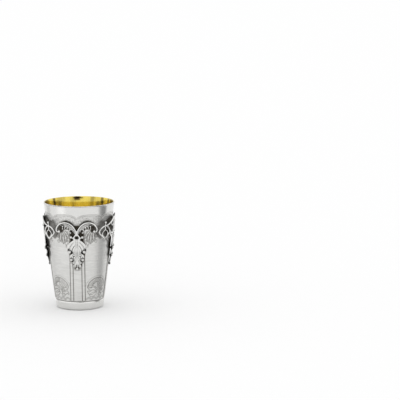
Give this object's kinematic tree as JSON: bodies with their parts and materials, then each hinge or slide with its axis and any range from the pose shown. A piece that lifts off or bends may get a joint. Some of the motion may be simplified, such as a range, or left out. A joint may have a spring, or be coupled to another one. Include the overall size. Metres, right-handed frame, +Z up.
{
  "type": "kiddush cup",
  "caption": "Tapered silver kiddush cup, gilt inside, with raised pilasters and a pierced frieze of scrolls, cartouches and hanging acanthus leaves.",
  "frame": {"origin": "centre of the foot ring, on the surface that the cup stands on", "axes": "+Z up along the cup's axis, -Y towards the front, where a scroll casting and its leaf hang"},
  "size_m": [0.0608, 0.0604, 0.09],
  "materials": {
    "polished_silver": "sterling silver, polished rim and foot with satin chased panels; the inside is gilt and polished",
    "cast_silver": "cast sterling silver, bright on its ridges and oxidised near black in its recesses"
  },
  "bodies": {
    "root": {"beaker": "polished_silver", "front_scroll_mount": "cast_silver", "back_scroll_mount": "cast_silver", "right_gallery_mount": "cast_silver", "left_gallery_mount": "cast_silver"}
  },
  "joints": []
}
